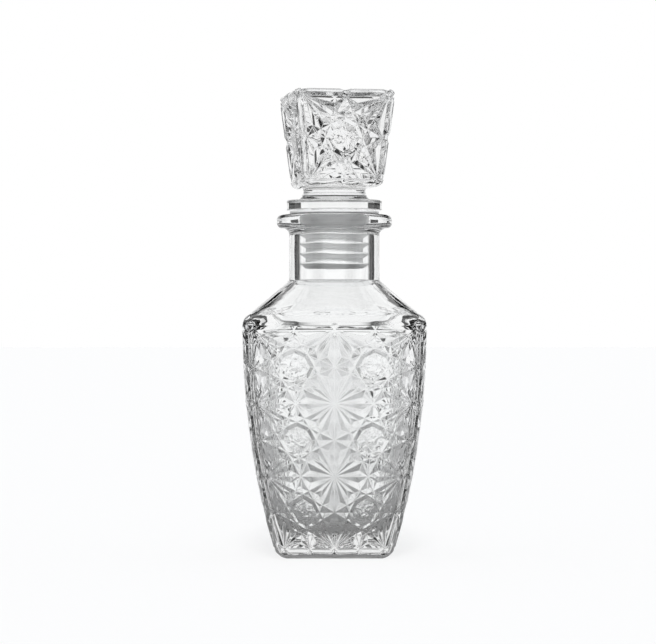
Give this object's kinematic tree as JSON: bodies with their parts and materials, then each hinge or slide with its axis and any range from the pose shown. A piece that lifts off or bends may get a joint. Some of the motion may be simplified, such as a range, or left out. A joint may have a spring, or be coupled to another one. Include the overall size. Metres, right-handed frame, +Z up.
{
  "type": "decanter",
  "caption": "Small square pressed-glass decanter with rounded corners, star-cut sides, round neck, faceted square stopper and ribbed sealing sleeve.",
  "frame": {"origin": "centre of the bottle's foot, on the plane it rests on", "axes": "+Z up along the neck, -Y out of the front side, +X to the right of the front side"},
  "size_m": [0.0526, 0.0526, 0.1351],
  "materials": {
    "clear_glass": "gloss",
    "stopper_glass": "gloss",
    "sealing_plastic": "satin"
  },
  "bodies": {
    "bottle": {"glass_bottle": "clear_glass"},
    "sleeve": {"sealing_sleeve": "sealing_plastic"},
    "stopper": {"glass_stopper": "stopper_glass"}
  },
  "joints": [
    {"name": "stopper_lift", "type": "slide", "parent": "bottle", "child": "sleeve", "axis": [0, 0, 1], "range_m": [0, 0.03]},
    {"name": "stopper_turn", "type": "hinge", "parent": "sleeve", "child": "stopper", "pos_m": [0, 0, 0.099], "axis": [0, 0, 1], "continuous": true}
  ]
}
